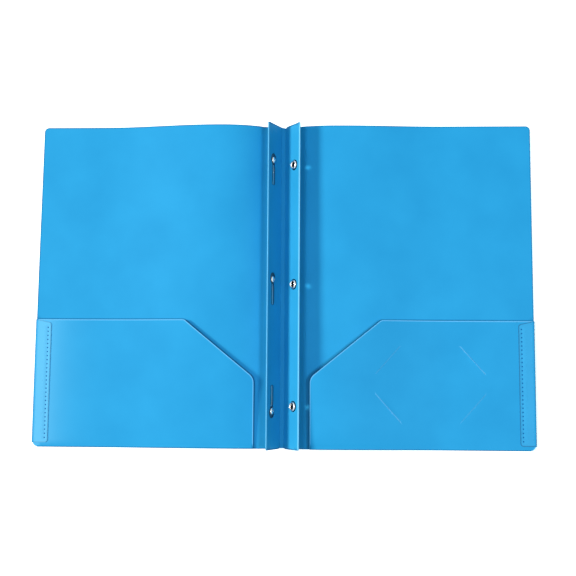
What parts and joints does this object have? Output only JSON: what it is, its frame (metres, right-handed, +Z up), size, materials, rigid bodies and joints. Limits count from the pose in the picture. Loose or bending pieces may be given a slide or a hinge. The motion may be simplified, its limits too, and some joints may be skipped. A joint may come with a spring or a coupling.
{
  "type": "two pocket folder",
  "caption": "Open plastic sheet folder with a chamfered pocket on each cover and a raised spine gusset whose bendable metal prongs and eyelets bind punched paper.",
  "frame": {"origin": "on the table, under the middle of the spine", "axes": "+X towards the right cover, +Y towards the top edge, +Z up from the table"},
  "size_m": [0.4499, 0.292, 0.0204],
  "materials": {
    "sheet": "fine satin grain",
    "prong_steel": "tin plated strip",
    "rivet_metal": "polished nickel plate",
    "eyelet_metal": "polished nickel plate"
  },
  "bodies": {
    "spine": {"spine": "sheet"},
    "left_flap": {"left_flap": "sheet", "upper_prong_head": "prong_steel", "upper_rivet": "rivet_metal", "middle_prong_head": "prong_steel", "middle_rivet": "rivet_metal", "lower_prong_head": "prong_steel", "lower_rivet": "rivet_metal"},
    "right_flap": {"right_flap": "sheet", "upper_eyelet": "eyelet_metal", "middle_eyelet": "eyelet_metal", "lower_eyelet": "eyelet_metal"},
    "left_cover": {"left_cover": "sheet", "left_pocket": "sheet", "left_side_tab": "sheet"},
    "right_cover": {"right_cover": "sheet", "right_pocket": "sheet", "right_side_tab": "sheet"},
    "upper_prong": {"upper_prong_leg": "prong_steel"},
    "middle_prong": {"middle_prong_leg": "prong_steel"},
    "lower_prong": {"lower_prong_leg": "prong_steel"}
  },
  "joints": [
    {"name": "left_flap_fold", "type": "hinge", "parent": "spine", "child": "left_flap", "pos_m": [-0.0017, 0, 0.0005], "axis": [0, 1, 0], "range_deg": [-20, 28.1]},
    {"name": "left_cover_fold", "type": "hinge", "parent": "left_flap", "child": "left_cover", "pos_m": [-0.00306, 0, 0.0005], "axis": [0, 1, 0], "range_deg": [-65, 54.4]},
    {"name": "right_flap_fold", "type": "hinge", "parent": "spine", "child": "right_flap", "pos_m": [0.0017, 0, 0.0005], "axis": [0, -1, 0], "range_deg": [-20, 35.8]},
    {"name": "right_cover_fold", "type": "hinge", "parent": "right_flap", "child": "right_cover", "pos_m": [0.00318, 0, 0.0005], "axis": [0, -1, 0], "range_deg": [-65, 46.7]},
    {"name": "upper_prong_bend", "type": "hinge", "parent": "left_flap", "child": "upper_prong", "pos_m": [-0.00818, 0.10795, 0.01348], "axis": [0.471, 0, -0.8821], "range_deg": [-90, 0]},
    {"name": "middle_prong_bend", "type": "hinge", "parent": "left_flap", "child": "middle_prong", "pos_m": [-0.00818, 0, 0.01348], "axis": [0.471, 0, -0.8821], "range_deg": [-90, 0]},
    {"name": "lower_prong_bend", "type": "hinge", "parent": "left_flap", "child": "lower_prong", "pos_m": [-0.00818, -0.10795, 0.01348], "axis": [-0.471, 0, 0.8821], "range_deg": [-90, 0]}
  ]
}
